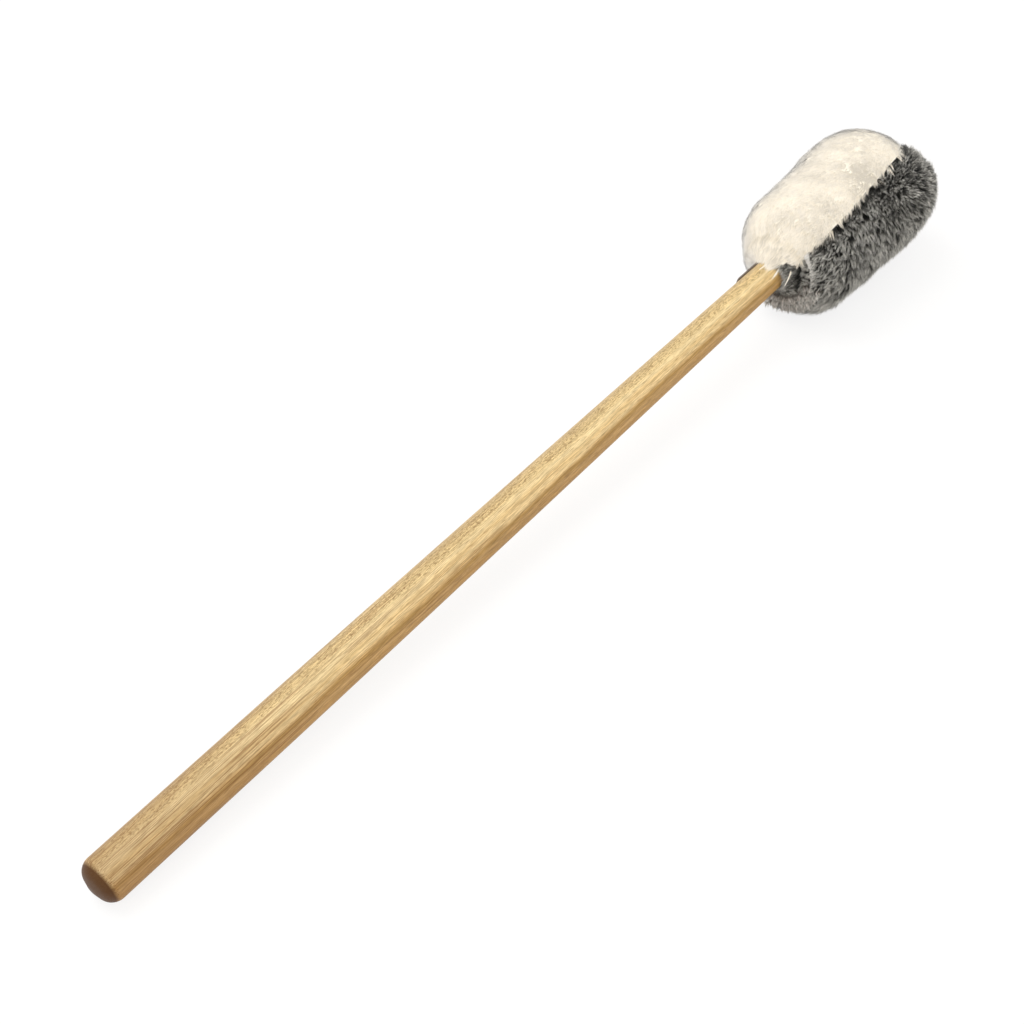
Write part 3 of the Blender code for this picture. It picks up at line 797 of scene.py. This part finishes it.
def face_velvet(sizes, rng, count=560):
    """Short dark velvet on the grey half's face round the handle."""
    tries = count * 3
    radius = np.sqrt(rng.uniform((NECK_HOLE + 0.3) ** 2, (RIM_RADIUS - 0.6) ** 2, tries))
    phi = rng.uniform(-math.pi, math.pi, tries)
    point, out = [places[:count] for places in on_face(False, FACE_STATION, radius, phi, 0.3)[:2]]
    count = len(point)
    normal = np.tile(-ALONG, (count, 1))
    flow = tangent(rng.normal(0.0, 0.6, point.shape) - out, normal)
    strands = grow(point, normal, np.zeros(count), rng.uniform(1.8, 2.8, count), flow, np.full(count, 1.7),
                   sizes.fibres, 1.1, 0.4, 0.5, rng)
    return dressed(strands, FACE_FIBRE, rng.uniform(0.3, 1.0, count), 0.05, sizes.fibres, rng)


def dark_collar(sizes, rng, count=640):
    """Longer dark pile round the handle, lying along it, which tucks in under the white half's collar."""
    phi = rng.uniform(math.radians(-24), math.radians(215), count)
    radius = NECK_HOLE + 0.3 + 4.2 * rng.random(count) ** 1.5
    border = np.where(radius < NECK_HOLE + 2.5, -6.0, 0.3)
    point, out, keep = on_face(False, FACE_STATION, radius, phi, border)
    radius, count = radius[keep], len(keep)
    # shorter on the underside of the handle
    drape = 0.5 + 0.5 * np.clip(2.0 - np.degrees(phi[keep]) / 60, 0, 1)
    reach = rng.uniform(11.0, 14.5, count) * (1 - 0.12 * (radius - NECK_HOLE)) * drape
    strands = grow_along(point, out, reach, -out, (radius - 8.6) * rng.uniform(0.5, 0.9, count),
                         sizes.fibres, 1.1, 0.4, 0.5, rng)
    return dressed(strands, DARK_COLLAR_FIBRE, rng.random(count), 0.02, sizes.fibres, rng)


def rim_pile(sizes, rng, count, angles, reach, tall, splay, pale, fading, least_pale, least_tone):
    """Pale locks along the rim of the grey half's face, between two angles in degrees and two distances
    from the rim. They stand tall by so many millimetres and splay out by so many, and darken inwards, as
    painted shade in the recess round the handle."""
    phi = rng.uniform(math.radians(angles[0]), math.radians(angles[1]), count)
    radius = RIM_RADIUS + rng.uniform(*reach, count)
    station = FACE_STATION + np.clip(radius - RIM_RADIUS, 0, 0.8)
    point, out, keep = on_face(False, station, radius, phi, 0.3)
    count = len(keep)
    strands = grow_along(point, out, tall * rng.uniform(0.75, 1.0, count), out,
                         splay * rng.uniform(0.5, 1.0, count), sizes.fibres, 1.0, 0.88, 0.4, rng)
    pale = (pale * np.clip((radius[keep] - RIM_RADIUS + 6.0) / 7.0, 0.1, 1) ** fading
            * rng.uniform(least_pale, 1.1, count))
    tone = rng.uniform(least_tone, 1.0, count)
    return dressed(strands, GREY_FIBRE, tone, pale, sizes.fibres, rng, 0.2)


class MALLET_OT_grey_fur(Operator):
    """Grey frosted fur: dark roots and pale tips, combed out from a whorl near the tip"""
    bl_idname = "mallet.grey_fur"
    bl_label = "Grey fur"

    def execute(self, context):
        sizes, colours = context.scene.mallet_sizes, context.scene.mallet_colours
        rng = np.random.default_rng(11)
        point, normal, depth, seam, phi = sites(False, sizes, sizes.grey_locks, rng)
        whorl = (WHORL_STATION * ALONG + WHORL_RADIUS * ring_directions(WHORL_ANGLE)
                 + PILE_OFFSET * SEAM_ACROSS)
        station, degrees = point[:, 0], np.degrees(phi)
        edge = hump(seam, 0.0, 3.0)
        swirl = np.linalg.norm(point - whorl, axis=1)

        # locks run out from the whorl, are combed down the side and part from the seam
        down = -np.sin(phi)[:, None] * SEAM_UP + np.cos(phi)[:, None] * SEAM_ACROSS
        comb = 0.9 * hump(degrees, 25.0, 50.0) * ramp(station, 448.0, 470.0) * ramp(station, 507.0, 482.0)
        parted = 0.8 * hump(seam, 0.0, 5.0) * (1 - hump(swirl, 0.0, 15.0))
        flow = tangent(tangent(point - whorl, normal) + comb[:, None] * down
                       + parted[:, None] * SEAM_ACROSS, normal)

        # they stand up more at the whorl and beside the face, and are shorter at the seam
        short = sizes.grey_pile / MM - depth
        height = depth * (1 - 0.25 * edge) * rng.uniform(0.86, 1.06, len(point))
        lean = (5.5 + short) * rng.uniform(0.7, 1.3, len(point)) * (1 - 0.3 * edge)
        lean *= 1 - 0.8 * hump(swirl, 0.0, 7.0)
        inside = ramp(np.hypot(point[:, 1], point[:, 2]), 30.0, 22.0)
        lean *= 1 - 0.75 * inside * (station < 460)
        strands = grow(point, normal, depth, height, flow, lean, sizes.fibres, 1.0,
                       (0.84 - 0.65 * edge)[:, None, None], 0.48, rng)

        # paler low on the side and at the round end, where the outline is seen edge on: painted sheen;
        # darker at the seam, as painted shade beside the white half, and darker round the whorl
        tone = np.clip(rng.random(len(point)) ** 1.1 + 0.12 * patches(station, phi), 0, 1)
        pale = (0.42 * hump(degrees, 92.0, 15.0) + 0.16 * ramp(station, 546.0, 551.0)
                - 0.16 * edge - 0.10 * hump(swirl, 9.0, 13.0))
        parts = [dressed(strands, GREY_FIBRE, tone, pale, sizes.fibres, rng, 0.16),
                 whorl_locks(sizes, whorl, rng), face_velvet(sizes, rng), dark_collar(sizes, rng)]

        # a frosted fringe along the rim of the face, and looser fluff that splays out under it
        fluff = [rim_pile(sizes, rng, count=340, angles=(-20, 84), reach=(-0.4, 0.5), tall=4.4, splay=0.3,
                          pale=1.0, fading=1.0, least_pale=0.8, least_tone=0.6),
                 rim_pile(sizes, rng, count=430, angles=(66, 172), reach=(-4.5, 4.0), tall=4.8, splay=3.2,
                          pale=0.84, fading=2.0, least_pale=0.0, least_tone=0.0)]
        stops = [(0.0, colours.grey_root), (0.38, "201F1B"), (0.53, "64625B"), (0.66, "E2DFD6"),
                 (1.0, colours.grey_tip)]
        finish = fibre_material("frosted_grey_pile", stops, 0.16, 1.14, 0.3)
        plant("grey_pile", 0.4, 0.7, parts, finish, "grey_plush")
        stops = [(0.0, "2C2621"), (0.30, "4A423B"), (0.52, "A59C92"), (0.70, "F3EBE3"),
                 (1.0, colours.grey_tip)]
        finish = fibre_material("frosted_grey_underpile", stops, 0.38, 1.18, 0.3)
        plant("grey_fluff", 0.4, 0.7, fluff, finish, "grey_plush")
        return {"FINISHED"}


def white_collar(sizes, rng, count=1150):
    """A fluffy collar of white locks that lie over the end of the handle, longest in a tuft on top."""
    phi = rng.uniform(math.radians(-168), math.radians(27), count)
    radius = NECK_HOLE + 0.2 + 7.5 * rng.random(count) ** 1.7
    point, out, keep = on_face(True, COLLAR_STATION, radius, phi, 0.3)
    radius, degrees, count = radius[keep], np.degrees(phi[keep]), len(keep)
    tuft = 7.0 * np.exp(-((degrees + 48.0) / 45.0) ** 4) + 4.5 * hump(degrees, -18.0, 14.0)
    reach = 5.0 + tuft * ramp(radius, 17.5, 10.5)
    strands = grow_along(point, out, reach * rng.uniform(0.72, 1.12, count), -out,
                         (radius - 8.4) * rng.uniform(0.6, 0.95, count) * np.clip(reach / 12.0, 0.3, 1),
                         sizes.fibres, 1.6, 0.72, 0.3, rng)
    return dressed(strands, WHITE_COLLAR_FIBRE, rng.random(count), 0.2, sizes.fibres, rng)


def loose_fibres(rng, each=4):
    """Three thin wisps over the end of the handle, each from one (station, radius, degrees) to another."""
    start = np.array([(431.5, 9.8, 2.0), (434.0, 12.6, 26.0), (430.0, 9.8, -30.0)])
    end = np.array([(423.5, 8.9, 14.0), (427.0, 12.0, 48.0), (423.0, 8.8, -38.0)])
    count = each * len(start)
    strands = []
    for place in (start, 0.5 * (start + end), end):
        middle = place[:, :1] * ALONG + place[:, 1:2] * ring_directions(np.radians(place[:, 2]))
        strands.append(np.repeat(middle, each, axis=0) + rng.normal(0.0, 0.14, (count, 3)))
    return (*strands, np.repeat(SEAM_UP[None], count, axis=0), np.full(count, LOOSE_FIBRE),
            np.ones(count), np.full(count, 0.5))


class MALLET_OT_white_fur(Operator):
    """White plush fur: short, dense and smooth, combed towards the neck, with a tuft over the handle"""
    bl_idname = "mallet.white_fur"
    bl_label = "White fur"

    def execute(self, context):
        sizes, colours = context.scene.mallet_sizes, context.scene.mallet_colours
        rng = np.random.default_rng(7)
        point, normal, depth, seam, phi = sites(True, sizes, sizes.white_locks, rng)
        # combed from a point at the tip towards the neck
        whorl = 548.0 * ALONG - 6.0 * SEAM_ACROSS
        edge = hump(seam, 0.0, 3.5)
        flow = tangent(tangent(point - whorl, normal) + 0.3 * edge[:, None] * SEAM_ACROSS, normal)
        short = sizes.white_pile / MM - depth
        height = depth * (1 - 0.2 * edge) * rng.uniform(0.92, 1.06, len(point))
        lean = (4.6 + short) * rng.uniform(0.8, 1.2, len(point)) * (1 + 0.3 * edge)
        strands = grow(point, normal, depth, height, flow, lean, sizes.fibres, 1.4, 0.12, 0.40, rng, 0.05)
        tone = 0.62 + 0.38 * patches(point[:, 0], phi) + rng.normal(0.0, 0.18, len(point))
        # two duller patches along the top, at a station and an angle; the one near the neck is painted
        # shade
        for middle, angle, fade in ((492.0, -10.0, 0.8), (448.0, -14.0, 0.35)):
            tone -= fade * hump(point[:, 0], middle, 11.0) * hump(np.degrees(phi), angle, 24.0)
        parts = [dressed(strands, WHITE_FIBRE, tone, 0.0, sizes.fibres, rng, 0.12)]

        # a sparse fuzz of finer fibres that stand a little higher, on every tenth lock
        few = slice(0, len(point), 10)
        strands = grow(point[few], normal[few], depth[few], height[few] + 1.0, flow[few], 0.8 * lean[few],
                       sizes.fibres, 3.0, -0.2, 0.8, rng, 0.0)
        parts.append(dressed(strands, FUZZ_FIBRE, np.ones(len(point[few])), 0.4, sizes.fibres, rng))
        parts += [white_collar(sizes, rng), loose_fibres(rng)]
        stops = [(0.0, colours.white_root), (0.4, "F5E9D3"), (0.75, "FFF5E4"), (1.0, colours.white_tip)]
        finish = fibre_material("white_acrylic_pile", stops, 0.66, 1.02, 1.0)
        plant("white_pile", 1.0, 0.3, parts, finish, "white_plush")
        return {"FINISHED"}


class MALLET_OT_inner_parts(Operator):
    """Finishes of the parts that keep their solids: core, screw, padding, threads and tab"""
    bl_idname = "mallet.inner_parts"
    bl_label = "Inner parts"

    def execute(self, context):
        beech = turned_beech()
        foam = porous("open_cell_foam", "8E8462", "DDD3B0", 0.9)
        thread = waxed_thread()
        finishes = {
            "core": beech, "core_washer": plated_steel("zinc_plated_washer", "A9ACAE", 0.35),
            "core_screw": plated_steel("steel_screw", "9A9CA0", 0.28),
            "felt_wrap": porous("pressed_felt", "3F3D39", "6A665F", 0.5),
            "foam_sleeve": foam, "foam_tip_pad": foam, "foam_neck_ring": foam,
            "seam_thread_upper": thread, "seam_thread_lower": thread,
            "neck_gather_thread": thread, "tip_gather_thread": thread,
            "backing_tab": knitted_backing("dark_knitted_backing", "6A5F55", "8C8178", 0.5),
        }
        for name, finish in finishes.items():
            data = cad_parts[name].data
            data.materials.clear()
            data.materials.append(finish)
        return {"FINISHED"}


def seen_plainly(tree):
    """1 for what the camera sees, by itself, in a reflection or through glass, and 0 for other rays."""
    path = add_node(tree, "ShaderNodeLightPath")
    seen = path.outputs["Is Camera Ray"]
    for ray in ("Is Glossy Ray", "Is Transmission Ray"):
        seen = add_node(tree, "ShaderNodeMath", {0: seen, 1: path.outputs[ray]}, operation="MAXIMUM")
    return seen


class MALLET_OT_stage(Operator):
    """White table, soft daylight from the upper left and the camera"""
    bl_idname = "mallet.stage"
    bl_label = "Stage"

    def execute(self, context):
        deselect()
        bpy.ops.mesh.primitive_plane_add(size=TABLE_SIZE, location=(0.0, 0.0, 0.0))
        floor = context.object
        floor.name = "table"

        # white laminate, which the camera sees glow, so that it is evenly white with a pale shadow
        made = bpy.data.materials.new("white_laminate_table")
        tree = empty_tree(made)
        paint = add_node(tree, "ShaderNodeBsdfDiffuse", {"Color": linear("F4F3F1")})
        shown = add_node(tree, "ShaderNodeBsdfDiffuse", {"Color": linear("7C7B7A")})
        glow = add_node(tree, "ShaderNodeEmission", {"Color": linear("FFFFFF"), "Strength": 0.83})
        both = add_node(tree, "ShaderNodeAddShader", {0: shown, 1: glow})
        choice = add_node(tree, "ShaderNodeMixShader", {0: seen_plainly(tree), 1: paint, 2: both})
        add_node(tree, "ShaderNodeOutputMaterial", {"Surface": choice})
        floor.data.materials.append(made)

        context.scene.world = bpy.data.worlds.new("studio")
        sky = empty_tree(context.scene.world)
        room = add_node(sky, "ShaderNodeBackground", {"Color": linear("FFFDF9"), "Strength": 0.72})
        white = add_node(sky, "ShaderNodeBackground", {"Color": linear("FFFFFF"), "Strength": 1.0})
        choice = add_node(sky, "ShaderNodeMixShader", {0: seen_plainly(sky), 1: room, 2: white})
        add_node(sky, "ShaderNodeOutputWorld", {"Surface": choice})

        for name, place, size, power in (("window", (-0.15, 0.75, 1.55), 1.2, 13.6),
                                         ("fill", (-0.9, -0.6, 1.4), 1.4, 5.0)):
            light = bpy.data.lights.new(name, "AREA")
            light.shape = "SQUARE"
            light.size = size
            light.energy = power
            lamp = bpy.data.objects.new(name, light)
            context.collection.objects.link(lamp)
            lamp.location = place
            lamp.rotation_euler = (LAMP_TARGET - Vector(place)).to_track_quat("-Z", "Y").to_euler()

        camera = bpy.data.cameras.new("camera")
        camera.sensor_width = 36.0
        camera.lens = camera.sensor_width / 2 / math.tan(CAMERA_VIEW / 2)
        shot = bpy.data.objects.new("camera", camera)
        context.collection.objects.link(shot)
        shot.location = CAMERA_PLACE
        shot.rotation_euler = CAMERA_AHEAD.to_track_quat("-Z", "Y").to_euler()
        context.scene.camera = shot
        context.scene.view_settings.view_transform = "Standard"
        return {"FINISHED"}


STEPS = ("stage", "handle", "backing", "white_fur", "grey_fur", "inner_parts")


class MALLET_PT_panel(Panel):
    """Lists the mallet's sizes, colours and steps"""
    bl_idname = "MALLET_PT_panel"
    bl_label = "Gong mallet"
    bl_space_type = "VIEW_3D"
    bl_region_type = "UI"
    bl_category = "Gong mallet"

    def draw(self, context):
        for group in (context.scene.mallet_sizes, context.scene.mallet_colours):
            for key in group.bl_rna.properties.keys():
                if key not in ("rna_type", "name"):
                    self.layout.prop(group, key)
        for step in STEPS:
            self.layout.operator("mallet." + step)


CLASSES = (MalletSizes, MalletColours, MALLET_OT_handle, MALLET_OT_backing, MALLET_OT_grey_fur,
           MALLET_OT_white_fur, MALLET_OT_inner_parts, MALLET_OT_stage, MALLET_PT_panel)


def register():
    for item in CLASSES:
        bpy.utils.register_class(item)
    bpy.types.Scene.mallet_sizes = PointerProperty(type=MalletSizes)
    bpy.types.Scene.mallet_colours = PointerProperty(type=MalletColours)


def unregister():
    del bpy.types.Scene.mallet_colours
    del bpy.types.Scene.mallet_sizes
    for item in reversed(CLASSES):
        bpy.utils.unregister_class(item)


def main():
    register()
    for step in STEPS:
        getattr(bpy.ops.mallet, step)()


if __name__ == "__main__":
    main()
